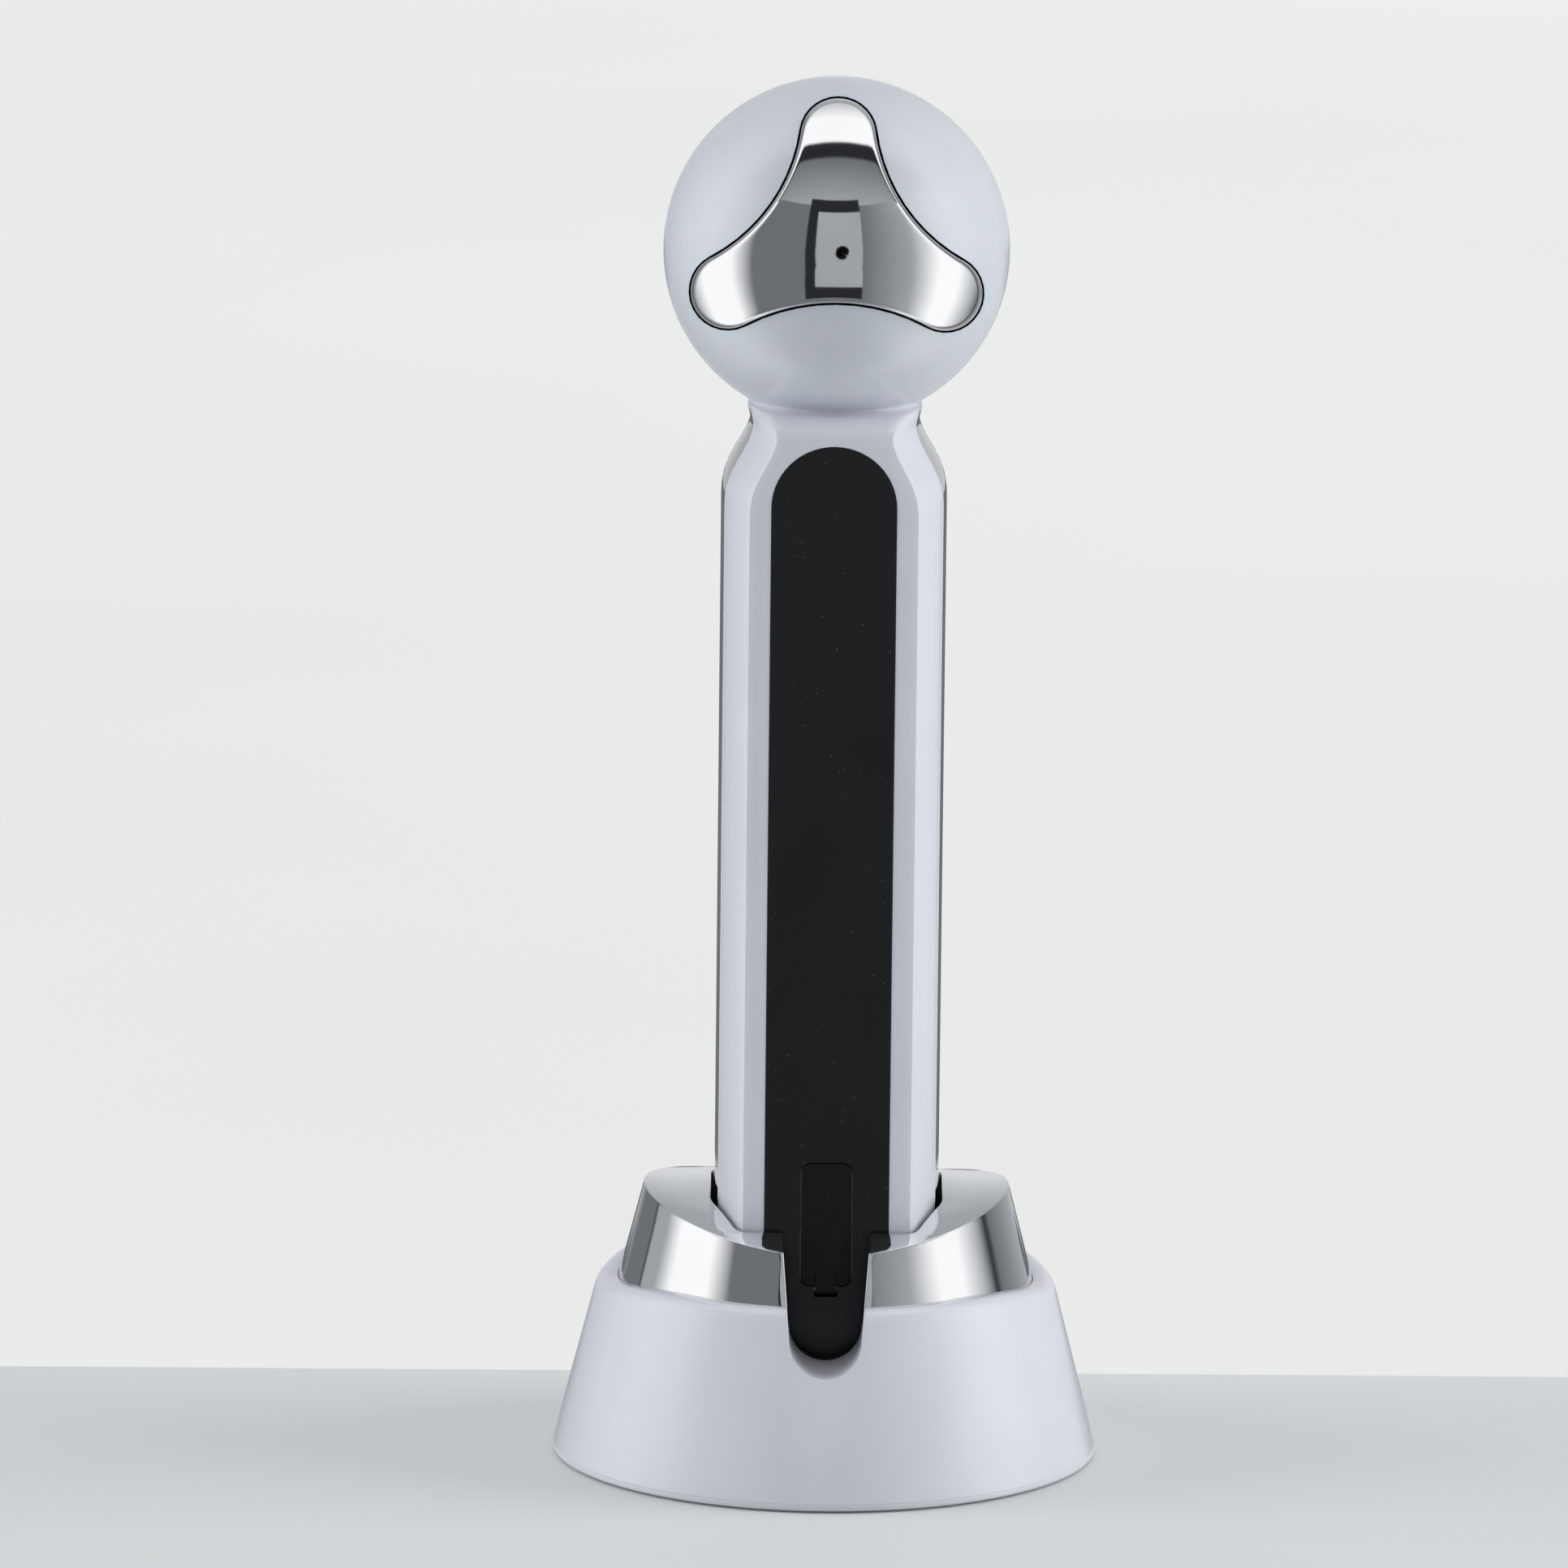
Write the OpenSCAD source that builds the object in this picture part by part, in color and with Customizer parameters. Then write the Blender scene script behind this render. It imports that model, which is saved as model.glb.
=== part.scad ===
// Facial toning device standing in its charging stand.
// A ball head with a three-lobed face electrode sits on a facetted handle.
// Front is -Y, up is +Z, and the origin is the centre of the stand's foot.

/* [Stand] */
// Radius of the white shell at its foot
base_r = 40; // [37:0.5:50]
// How far the shell and the collar lean in for each mm of height
wall_lean = 0.26; // [0.15:0.005:0.3]
// Height of the white shell's top at the front and the back
shell_top = 28.15; // [27:0.05:32]
// How far the shell's top dips at the sides
shell_dip = 2.25; // [0:0.05:2.5]
// Distance from the middle over which the dip runs out
dip_reach = 26; // [18:0.5:30]
// Wall thickness of the white shell
shell_wall = 2.2; // [1.6:0.1:3]
// Rounding of the shell's shoulder
shoulder_r = 2.2; // [1:0.1:3]
// Height of the collar's highest line
collar_top = 39.9; // [36:0.2:46]
// Radius of the arch over the collar
arch_r = 87; // [60:1:150]
// Radius of the collar at its lower edge
collar_r = 30.56; // [28.5:0.02:31]
// Height of the ledge in the shell that the collar stands on
collar_seat_z = 24.8; // [24:0.1:25.4]
// Wall thickness of the collar
collar_wall = 1.8; // [1.2:0.1:2.5]
// Width of the cable slot at its round bottom
slot_w = 10.5; // [8:0.1:12]
// Height of the bottom of the cable slot
slot_bottom = 18.75; // [17:0.1:22]
// Widening of the slot on each side for each mm of height
slot_flare = 0.08; // [0:0.005:0.12]
// Thickness of the base plate's rim
rim_t = 1; // [0.8:0.1:1.6]
// Thickness of the base plate inside the shell
plate_t = 3; // [2.5:0.1:4]
// How far the feet stand out below the base plate
foot_proud = 0.3; // [0.2:0.1:1]
// Radius of a foot
foot_r = 4; // [3:0.5:5]
// Distance of the feet from the axis
foot_ring_r = 30; // [26:0.5:32]
// Radius of the steel weight
weight_r = 25; // [20:0.5:27]

/* [Handle] */
// Height of the handle's lower end above the table
handle_z = 12; // [11:0.2:16]
// Height where the shoulder of the handle begins
shoulder_z = 142; // [136:0.5:145]
// Half width of the white housing between its sides
half_w = 15.8; // [14.5:0.1:17]
// Half width of the neck
neck_half_w = 11.7; // [11.4:0.1:13]
// Distance of the front face from the axis
front_y = 20.2; // [18:0.1:21.5]
// Distance of the rear face from the axis
rear_y = 16.8; // [16.4:0.1:20]
// Half width of the front and rear faces
face_half_w = 12.4; // [11:0.1:13]
// Half width of the front and rear faces at the neck
neck_face_half_w = 8.6; // [7:0.1:9]
// Distance of the side corners from the axis, to front and rear
side_y = 9.2; // [7:0.1:10.5]
// Rounding of the facet corners
corner_r = 1.6; // [0.5:0.1:2.5]
// Wall thickness of the housings
wall = 1.8; // [1.4:0.1:2.4]
// Rise of the grip electrodes' crown over the housing
grip_crown = 0.55; // [0.2:0.05:0.8]
// Thickness of the grip electrodes at their edges
grip_t = 1.2; // [0.8:0.1:1.5]

/* [Front strip and port] */
// Width of the black strip
strip_w = 17.9; // [15:0.1:19]
// Thickness of the black strip
strip_t = 1.2; // [0.8:0.1:1.5]
// How far the strip stands out of the front face
strip_proud = 0.1; // [0:0.05:0.3]
// Height of the centre of the strip's round end
strip_end_z = 143.6; // [138:0.1:143.7]
// Width of the port cover
cover_w = 7.3; // [6.5:0.1:8]
// Height of the port cover
cover_h = 18.1; // [16:0.1:20]
// Height of the port cover's lower edge above the table
cover_z = 29.2; // [27:0.1:30]
// Corner radius of the port cover
cover_corner_r = 1.4; // [0.8:0.1:2]
// Thickness of the port cover's plate
cover_t = 1.1; // [0.8:0.1:1.3]
// Length of the cover's strap below its plate
strap_len = 1.3; // [1:0.1:3]
// Width of the cover's strap
strap_w = 3; // [2.5:0.1:4.5]

/* [Head] */
// Radius of the globe
globe_r = 25; // [23:0.5:27]
// Height of the globe's centre
globe_z = 178; // [176:0.5:180]
// Wall thickness of the globe
globe_wall = 2; // [1.5:0.1:2.5]
// Upward tilt of the face electrode
electrode_tilt = 9.5; // [0:0.5:15]
// Radius of each of the electrode's three lobes
lobe_r = 5.35; // [4.5:0.05:6]
// Height of the upper lobe's centre over the electrode's axis
lobe_up = 16.3; // [15:0.1:17]
// Distance of the two lower lobes from the middle
lobe_out = 15.6; // [14:0.1:16]
// Distance of the two lower lobes below the axis
lobe_down = 6.2; // [4:0.1:7]
// Radius of the two hollow upper flanks
flank_r = 24.5; // [20:0.5:40]
// Radius of the hollow lower flank
lower_flank_r = 28; // [22:0.5:40]
// How far the electrode stands out of the globe
electrode_proud = 0.8; // [0.3:0.1:1.2]

/* [Buttons] */
// Radius of the power button's cap
power_r = 5; // [4:0.1:6]
// Radius of the mode button's cap
mode_r = 4; // [3:0.1:5]
// Height of the power button
power_z = 128.5; // [128:0.5:130]
// Height of the mode button
mode_z = 111; // [109:0.5:112]
// Travel of a button
button_travel = 0.5; // [0.3:0.05:0.6]
// How far a button stands out of the rear face
button_proud = 0.6; // [0.4:0.1:1]

/* [Fits] */
// Clearance between the handle and its socket
socket_gap = 0.8; // [0.4:0.1:1.2]
// Running clearance round a moving cap
run_gap = 0.1; // [0.05:0.01:0.2]
// Clearance round a fixed inlay
inlay_gap = 0.1; // [0.05:0.01:0.2]
// Gap round the face electrode
electrode_gap = 0.3; // [0.2:0.05:0.5]

/* [Hidden] */

$fn = 96;
eps = 0.02;             // overlap that keeps a union whole
far = 60;               // reach of a cut that runs right out of the object
lean = atan(wall_lean); // angle of the cone walls
rim_z = foot_proud + rim_t;               // seat of the shell on the base plate
ledge_z = collar_seat_z - shell_wall;     // underside of the collar's ledge
plate_top = foot_proud + plate_t;         // upper face of the base plate
slot_z = slot_bottom + slot_w / 2;        // centre of the slot's round bottom
channel_wall = 1.6;                       // walls along the cable slot
collar_mouth_r = 26.7;                     // opening in the top of the white shell
cup_wall = 1.5;
cup_floor = 2;
seat_gap = 0.05;                          // round the collar in its seat
globe_gap = 0.04;                         // between the ball and the neck
cup_top_gap = 0.2;                        // between the cup's rim and the collar's underside
foot_t = 1;
screw_ring_r = base_r - 7;                // stand screws
screw_as = [90, 210, 330];
boss_r = 3;
boss_h = 11;
screw_r = 1.3;
screw_head_r = 2.4;
screw_head_h = 1.5;
stand_screw_len = 8;
housing_screw_len = 13.5;
neck_z = 153.9;                           // narrowest height of the neck
rim_top_z = 156.2;                        // upper end of the neck before the globe cuts it
face_top_z = rim_top_z - 3.4;             // the front face is flat up to here
neck_y = 12.5;                            // depth of the neck to front and rear
neck_side_y = 7.5;
rim_flare = 0.6;
spigot_r = 8.9;                           // globe's tube in the neck
spigot_bore_r = 7.2;
spigot_z = 145;
parting_y = -0.5;                         // plane where the two housings meet
front_inner = -(front_y - wall);
rear_inner = rear_y - wall;
hinge_z = cover_z - strap_len + 0.7;      // port cover's hinge line
hinge_y = -(front_y - 0.2);
knuckle_r = 0.7;
strap_gap = 0.2;                          // on each side of the strap in its recess
strap_root = 1.8;                         // raised root of the strap on the cover
strap_proud = 0.25;
plug_w = 4.6;                             // cover's plug and the opening it closes
plug_h = 11;
plug_z = cover_z + 3.2;
plug_in = 0.9;
board_t = 1.6;
board_y = 9.5;                            // front face of the control board
board_z = [104, 138];
board_w = 22;
switch_body_t = 2;
flange_t = 1;
flange_extra = 0.8;                         // button flange beyond its cap
screw_zs = [20.5, 51.5, 119.2];             // housing screws on the centre line
screw_joint_y = -11;                      // where the two screw bosses meet
charge_y = -11;                           // front face of the charging board
charge_z = [26, 47.5];
cell_r = 7.1;
cell_z = [56, 104 - 4];
cell_y = 3;

// ---------- shared shapes ----------

// A round bar along +Y from y0 to y1
module bar_y(r, y0, y1) {
    translate([0, y0, 0]) rotate([-90, 0, 0]) cylinder(r = r, h = y1 - y0);
}

// A plate standing in the XZ plane, drawn as [x, z] and running from y0 to y1
module plate_y(y0, y1) {
    translate([0, y1, 0]) rotate([90, 0, 0]) linear_extrude(y1 - y0) children();
}

// A block between two corners
module block(low, high) {
    translate(low) cube(high - low);
}

// Rectangle with round corners, centred in x, standing on y = 0
module rounded_rect(w, h, r) {
    translate([-w / 2 + r, 0]) square([w - 2 * r, h]);
    translate([-w / 2, r]) square([w, h - 2 * r]);
    for (x = [-1, 1], y = [r, h - r]) translate([x * (w / 2 - r), y]) circle(r);
}

// ---------- handle section and loft ----------

// 1 on the straight handle, 0 at the neck, smooth between
function narrowing(z) = z <= shoulder_z ? 1 : z >= neck_z ? 0
    : 0.5 + 0.5 * cos(180 * pow((z - shoulder_z) / (neck_z - shoulder_z), 1.25));
function between(low, high, k) = low + (high - low) * k;
// Flare above the neck that cradles the globe
function flare(z) = z <= neck_z ? 0 : rim_flare * (z - neck_z) / (rim_top_z - neck_z);
function side_x(z) = between(neck_half_w, half_w, narrowing(z)) + flare(z);
function face_x(z) = between(neck_face_half_w, face_half_w, narrowing(z)) + flare(z);
function side_reach(z) = between(neck_side_y, side_y, narrowing(z));
// The faces stay flat up to face_top_z and then turn in to the globe like a quarter ellipse
function face_reach(z, full) = z <= face_top_z ? full
    : neck_y + (full - neck_y) * sqrt(max(0, 1 - pow((z - face_top_z) / (rim_top_z - face_top_z), 2)));

function section(z, grow = 0) =
    let (a = side_x(z) + grow, w = face_x(z) + 0.5 * grow, s = side_reach(z) + 0.5 * grow,
         f = face_reach(z, front_y) + grow, r = face_reach(z, rear_y) + grow)
    [[w, -f], [a, -s], [a, s], [w, r], [-w, r], [-a, s], [-a, -s], [-w, -f]];

function unit(v) = v / norm(v);
// Each corner of a closed outline becomes a short curve
function soften(pts, r, steps = 2) =
    [for (i = [0 : len(pts) - 1])
        let (p = pts[i],
             a = p + r * unit(pts[(i + len(pts) - 1) % len(pts)] - p),
             b = p + r * unit(pts[(i + 1) % len(pts)] - p))
        for (k = [0 : steps])
            let (t = k / steps) (1 - t) * (1 - t) * a + 2 * t * (1 - t) * p + t * t * b];

// Closed solid through rings of equal length, each ring a list of [x, y, z]
module skin(rings) {
    n = len(rings[0]);
    last = len(rings) - 1;
    polyhedron(
        points = [for (ring = rings) each ring],
        faces = concat(
            [[for (j = [0 : n - 1]) j]],
            [for (i = [0 : last - 1]) for (j = [0 : n - 1])
                let (k = (j + 1) % n) [i * n + j, (i + 1) * n + j, (i + 1) * n + k]],
            [for (i = [0 : last - 1]) for (j = [0 : n - 1])
                let (k = (j + 1) % n) [i * n + j, (i + 1) * n + k, i * n + k]],
            [[for (j = [n - 1 : -1 : 0]) last * n + j]]));
}

// The same through flat outlines of [x, y], each at its height
module loft(outlines, heights) {
    skin([for (i = [0 : len(heights) - 1]) [for (p = outlines[i]) [p[0], p[1], heights[i]]]]);
}

// Heights of the rings: close together only where the shape bends
shoulder_heights = [for (k = [0 : 7]) between(shoulder_z, face_top_z, k / 7)];
neck_heights = [for (a = [14, 26, 38, 50, 62, 74, 90]) between(face_top_z, rim_top_z, sin(a))];
body_heights = concat([handle_z, handle_z + corner_r], shoulder_heights, neck_heights);

module handle_body() {
    loft([for (z = body_heights)
            soften(section(max(z, handle_z + corner_r), z == handle_z ? -corner_r : 0), corner_r)],
         body_heights);
}

// Inside of the two housings
module handle_cavity() {
    translate([0, 0, handle_z + wall])
        linear_extrude(shoulder_z - wall - handle_z) polygon(section(handle_z + corner_r, -wall));
    cylinder(r = spigot_bore_r, h = spigot_z + eps);
    translate([0, 0, spigot_z]) cylinder(r = spigot_r + inlay_gap, h = far);
}

// Ring of the grip electrode at one height, on the +X side
function grip_ring(z, gap = 0, over = 0) =
    let (a = side_x(z), h = side_reach(z) - 0.3 + gap)
    concat([[a - grip_t - gap, h], [a - grip_t - gap, -h]],
           [for (k = [-3 : 3]) [a + over + grip_crown * (1 - k * k / 9), h * k / 3]]);
grip_heights = concat([handle_z + corner_r], shoulder_heights, [for (z = neck_heights) if (z < rim_top_z - 0.6) z]);

module grip_loft(gap = 0, over = 0, extra = 0) {
    heights = [for (i = [0 : len(grip_heights) - 1])
        grip_heights[i] + (i == 0 ? -extra : i == len(grip_heights) - 1 ? extra : 0)];
    loft([for (i = [0 : len(heights) - 1]) grip_ring(grip_heights[i], gap, over)], heights);
}

// ---------- stand ----------

function cone_r(z) = base_r - wall_lean * z;
// Height of the shell's top at depth y: a shallow dip across the middle
function top_at(y) = shell_top - shell_dip * pow(cos(90 * min(abs(y) / dip_reach, 1)), 2);
// Profile of the shell in the direction a, as [radius, height] from the foot to inside the collar
function shell_profile(a) =
    let (top = top_at((collar_r + shoulder_r) * sin(a)), zc = top - shoulder_r,
         rc = cone_r(zc) - shoulder_r / cos(lean))
    concat([[cone_r(rim_z), rim_z]],
           [for (k = [0 : 5]) let (t = between(lean, 90, k / 5)) [rc + shoulder_r * cos(t), zc + shoulder_r * sin(t)]],
           [[collar_r - 1.6, top], [collar_mouth_r - 2, shell_top]]);
shell_steps = 96;

// U-shaped outline of the cable slot, seen from the front, grown by g on each side
module slot_outline(g = 0) {
    r = slot_w / 2 + g;
    top = collar_top + 10;
    translate([0, slot_z]) circle(r);
    polygon([[-r, slot_z], [r, slot_z],
             [r + slot_flare * (top - slot_z), top], [-r - slot_flare * (top - slot_z), top]]);
}

module stand_shell() color("whitesmoke") {
    inset = shell_wall / cos(lean);
    directions = [for (j = [0 : shell_steps - 1]) 360 * j / shell_steps];
    profiles = [for (a = directions) shell_profile(a)];
    difference() {
        skin([for (i = [0 : len(profiles[0]) - 1]) [for (j = [0 : shell_steps - 1])
            [profiles[j][i][0] * cos(directions[j]), profiles[j][i][0] * sin(directions[j]), profiles[j][i][1]]]]);
        difference() {
            rotate_extrude() polygon([[0, 0], [cone_r(0) - inset, 0], [cone_r(ledge_z) - inset, ledge_z], [0, ledge_z]]);
            // walls of the cable channel, from the shell in to the socket
            plate_y(-base_r, -(front_y + socket_gap + cup_wall + 0.5)) slot_outline(channel_wall);
            for (a = screw_as) rotate(a) translate([screw_ring_r, 0, plate_top]) cylinder(r = boss_r, h = boss_h);
        }
        difference() {
            translate([0, 0, ledge_z - eps]) cylinder(r = collar_mouth_r, h = far);
            block([-slot_w / 2 - channel_wall, -base_r, 0], [slot_w / 2 + channel_wall, -(front_y + socket_gap + cup_wall + 0.5), collar_seat_z]);
        }
        collar_cone(-seat_gap);
        plate_y(-far, -front_y) slot_outline();
        for (a = screw_as) rotate(a)
            translate([screw_ring_r, 0, plate_top - eps]) cylinder(r = screw_r - 0.1, h = boss_h - 2);
    }
}

// Solid under the arch, drop below its outer face, over the whole stand
module under_arch(drop = 0) {
    translate([-far, 0, collar_top - arch_r]) rotate([0, 90, 0]) cylinder(r = arch_r - drop, h = 2 * far);
}

// The collar's cone from drop below its seat up, drawn in by inset
module collar_cone(inset = 0, drop = 0) {
    h = collar_top - collar_seat_z + 2;
    translate([0, 0, collar_seat_z - drop])
        cylinder(r1 = collar_r - inset + wall_lean * drop, r2 = collar_r - inset - wall_lean * h, h = h + drop);
}

module socket_outline(grow = 0) {
    polygon(soften(section(handle_z + corner_r, socket_gap + grip_crown / 2 + grow), corner_r, 3));
}

module chrome_collar() color("silver") {
    difference() {
        intersection() {
            collar_cone();
            under_arch();
        }
        difference() {
            intersection() {
                collar_cone(collar_wall / cos(lean), 1);
                under_arch(collar_wall);
            }
            plate_y(-far, -front_y) slot_outline(channel_wall);
        }
        linear_extrude(far) socket_outline();
        intersection() {
            linear_extrude(far) socket_outline(cup_wall + 0.3);
            under_arch(collar_wall);
        }
        plate_y(-far, 0) slot_outline();
    }
}

module socket_cup() color([0.12, 0.12, 0.13]) {
    difference() {
        intersection() {
            translate([0, 0, handle_z - cup_floor - 0.05])
                linear_extrude(collar_top) socket_outline(cup_wall);
            under_arch(collar_wall + cup_top_gap);
        }
        translate([0, 0, handle_z - 0.05]) linear_extrude(far) socket_outline();
        plate_y(-far, -side_y) slot_outline();
    }
}

module base_plate() color("gainsboro") {
    plate_r = cone_r(rim_z) - shell_wall / cos(lean) - inlay_gap;
    chamfer = 0.3;
    difference() {
        rotate_extrude() polygon([[0, foot_proud], [base_r - 0.3 - chamfer, foot_proud],
            [base_r - 0.3, foot_proud + chamfer], [base_r - 0.3, rim_z], [plate_r, rim_z],
            [plate_r - wall_lean * (plate_top - rim_z), plate_top], [0, plate_top]]);
        for (a = [45 : 90 : 315]) rotate(a)
            translate([foot_ring_r, 0, -eps]) cylinder(r = foot_r + inlay_gap, h = foot_t + eps);
        for (a = screw_as) rotate(a) translate([screw_ring_r, 0, 0]) {
            cylinder(r = screw_head_r + 0.3, h = foot_proud + screw_head_h + 0.2);
            cylinder(r = screw_r + 0.2, h = far);
        }
    }
}

module ballast_weight() color("dimgray") {
    translate([0, 0, plate_top]) difference() {
        cylinder(r = weight_r, h = handle_z - cup_floor - 0.05 - plate_top);
        translate([0, 0, -eps]) cylinder(r = 3, h = far);
    }
}

module rubber_feet() color([0.2, 0.2, 0.2]) {
    for (a = [45 : 90 : 315]) rotate(a) translate([foot_ring_r, 0, 0])
        rotate_extrude() polygon([[0, 0], [foot_r - 0.3, 0], [foot_r, 0.3], [foot_r, foot_t], [0, foot_t]]);
}

// Pan-head screw along +Z with its head at the bottom, slim enough for the bosses' bores
module screw(length) {
    shank = screw_r - 0.15;
    rotate_extrude() polygon([[0, 0], [screw_head_r - 0.4, 0], [screw_head_r, 0.4],
        [screw_head_r, screw_head_h], [shank, screw_head_h], [shank, screw_head_h + length - 0.8],
        [0.4, screw_head_h + length], [0, screw_head_h + length]]);
}

module stand_screws() color("silver") {
    for (a = screw_as) rotate(a)
        translate([screw_ring_r, 0, foot_proud + 0.2]) screw(stand_screw_len);
}

// ---------- housings ----------

// Opening for the black strip, grown by g
module strip_outline(g = 0) {
    r = strip_w / 2 + g;
    translate([0, strip_end_z]) circle(r);
    translate([-r, handle_z + corner_r - g]) square([2 * r, strip_end_z - handle_z - corner_r + g]);
}

module port_outline(g = 0) {
    translate([0, plug_z - g]) rounded_rect(plug_w + 2 * g, plug_h + 2 * g, 1 + g);
}

// Room in the strip and the housing for the cover's strap and its knuckle
module strap_recess() {
    w = strap_w / 2 + strap_gap;
    translate([-w, hinge_y, hinge_z]) rotate([0, 90, 0]) cylinder(r = knuckle_r + 0.4, h = 2 * w);
    block([-w, -far, hinge_z], [w, -(front_y - strip_t), cover_z]);
}

module housing_half(front) {
    difference() {
        intersection() {
            handle_body();
            if (front) block([-far, -far, 0], [far, parting_y, 2 * globe_z]);
            else block([-far, parting_y, 0], [far, far, 2 * globe_z]);
        }
        handle_cavity();
        for (m = [0, 1]) mirror([m, 0, 0]) grip_loft(inlay_gap, 3, inlay_gap);
        translate([0, 0, globe_z]) sphere(r = globe_r + globe_gap);
    }
}

module front_housing() color("white") {
    difference() {
        union() {
            housing_half(true);
            for (z = screw_zs) translate([0, 0, z]) bar_y(boss_r, front_inner - eps, screw_joint_y);
        }
        plate_y(-far, -(front_y - strip_t)) strip_outline(inlay_gap);
        plate_y(-far, 0) port_outline(0.3);
        // pocket behind the cover's plate and round its hinge
        strap_recess();
        for (z = screw_zs) translate([0, 0, z]) {
            bar_y(screw_head_r + 0.3, -far, -(front_y - strip_t) + screw_head_h + 0.3);
            bar_y(screw_r + 0.2, -far, 0);
        }
        for (m = [0, 1], z = grip_peg_zs) mirror([m, 0, 0])
            translate([0, grip_peg_y, z]) rotate([0, 90, 0]) cylinder(r = grip_peg_r + inlay_gap, h = far);
    }
}
grip_peg_zs = [46, 122];
grip_peg_y = -5;
grip_peg_r = 1.2;

module rear_housing() color("white") {
    post_z = [board_z[0] + 3, board_z[1] - 3];
    difference() {
        union() {
            housing_half(false);
            for (z = screw_zs) translate([0, 0, z]) bar_y(boss_r, screw_joint_y, rear_inner + eps);
            for (x = [-1, 1], z = post_z) translate([x * (board_w / 2 - 2.2), 0, z])
                bar_y(1.5, board_y + board_t, rear_inner + eps);
        }
        for (z = screw_zs) translate([0, 0, z]) bar_y(screw_r - 0.1, screw_joint_y - eps, screw_joint_y + 12);
        translate([0, 0, power_z]) bar_y(power_r + run_gap, 0, far);
        translate([0, 0, mode_z]) bar_y(mode_r + run_gap, 0, far);
        for (x = indicator_xs) translate([x, 0, indicator_z]) bar_y(indicator_r + inlay_gap, 0, far);
    }
}
indicator_xs = [-4, 0, 4];
indicator_z = 136.5;
indicator_r = 0.9;

module grip_electrode() {
    difference() {
        union() {
            grip_loft();
            for (z = grip_peg_zs) translate([half_w - grip_t - wall - 2, grip_peg_y, z])
                rotate([0, 90, 0]) cylinder(r = grip_peg_r, h = wall + 2 + eps);
        }
        translate([0, 0, globe_z]) sphere(r = globe_r + globe_gap);
    }
}

module right_grip_electrode() color("silver") grip_electrode();
module left_grip_electrode() color("silver") mirror([1, 0, 0]) grip_electrode();

module front_strip() color([0.15, 0.155, 0.165]) {
    difference() {
        plate_y(-(front_y + strip_proud), -(front_y - strip_t)) strip_outline();
        plate_y(-far, 0) translate([0, cover_z - 0.15]) rounded_rect(cover_w + 0.3, cover_h + 0.3, cover_corner_r + 0.15);
        strap_recess();
    }
}

module housing_screws() color("silver") {
    for (z = screw_zs) translate([0, -(front_y - strip_t) + 0.2, z]) rotate([-90, 0, 0]) screw(housing_screw_len);
}

// ---------- head ----------

// Centre of a circle that touches two circles of lobe_r round p and q from outside, on the right of p to q
function hollow(p, q, r) = (p + q) / 2
    + [q[1] - p[1], p[0] - q[0]] / norm(q - p) * sqrt(pow(r + lobe_r, 2) - pow(norm(q - p) / 2, 2));
lobes = [[0, lobe_up], [-lobe_out, -lobe_down], [lobe_out, -lobe_down]];
hollow_rs = [flank_r, lower_flank_r, flank_r];
hollows = [for (i = [0 : 2]) hollow(lobes[i], lobes[(i + 1) % 3], hollow_rs[i])];

function polar(r, a) = r * [cos(a), sin(a)];
function heading(v) = atan2(v[1], v[0]);
function turn(a, b) = (b - a + 720) % 360;
lobe_steps = 14;
flank_steps = 10;
// Points round a lobe and along the hollow flank after it, counter-clockwise, grown by g
function lobe_arc(i, g) =
    let (c = lobes[i], from = heading(hollows[(i + 2) % 3] - c), sweep = turn(from, heading(hollows[i] - c)))
    [for (k = [0 : lobe_steps]) c + polar(lobe_r + g, from + sweep * k / lobe_steps)];
function flank_arc(i, g) =
    let (c = hollows[i], from = heading(lobes[i] - c), sweep = 360 - turn(from, heading(lobes[(i + 1) % 3] - c)))
    [for (k = [1 : flank_steps - 1]) c + polar(hollow_rs[i] - g, from - sweep * k / flank_steps)];

// Three lobes joined by three hollow flanks, grown by g
module electrode_outline(g = 0) {
    polygon([for (i = [0 : 2]) each concat(lobe_arc(i, g), flank_arc(i, g))]);
}

// Bar with the electrode's outline along its axis, grown by g mm
module electrode_bar(g = 0, high = far) {
    translate([0, 0, globe_z]) rotate([90 - electrode_tilt, 0, 0]) linear_extrude(high) electrode_outline(g);
}

module head_sphere(r) {
    translate([0, 0, globe_z]) sphere(r = r);
}

module globe_half(front) {
    difference() {
        intersection() {
            difference() {
                union() {
                    head_sphere(globe_r);
                    translate([0, 0, spigot_z]) cylinder(r = spigot_r, h = globe_z - globe_r - spigot_z + 4);
                }
                head_sphere(globe_r - globe_wall);
                translate([0, 0, spigot_z - eps]) cylinder(r = spigot_bore_r, h = globe_r);
            }
            if (front) block([-far, -far, 0], [far, 0, 2 * globe_z]);
            else block([-far, 0, 0], [far, far, 2 * globe_z]);
        }
        if (front) electrode_bar(electrode_gap);
    }
}

module front_globe_shell() color([0.9, 0.91, 0.94, 0.9]) globe_half(true);

led_board_r = 15;
led_board_y = 2;

module rear_globe_shell() color([0.9, 0.91, 0.94, 0.9]) {
    globe_half(false);
    for (a = [90, 210, 330]) intersection() {
        translate([(led_board_r - 3) * cos(a), 0, globe_z + (led_board_r - 3) * sin(a)])
            bar_y(1.8, led_board_y + board_t, globe_r);
        head_sphere(globe_r - globe_wall / 2);
    }
}

module face_electrode() color("silver") {
    step = 0.22;
    difference() {
        union() {
            for (k = [0 : 2]) intersection() {
                electrode_bar(-k * step);
                head_sphere(globe_r + electrode_proud - (2 - k) * step);
            }
        }
        head_sphere(globe_r - globe_wall + 0.1);
    }
}

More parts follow.
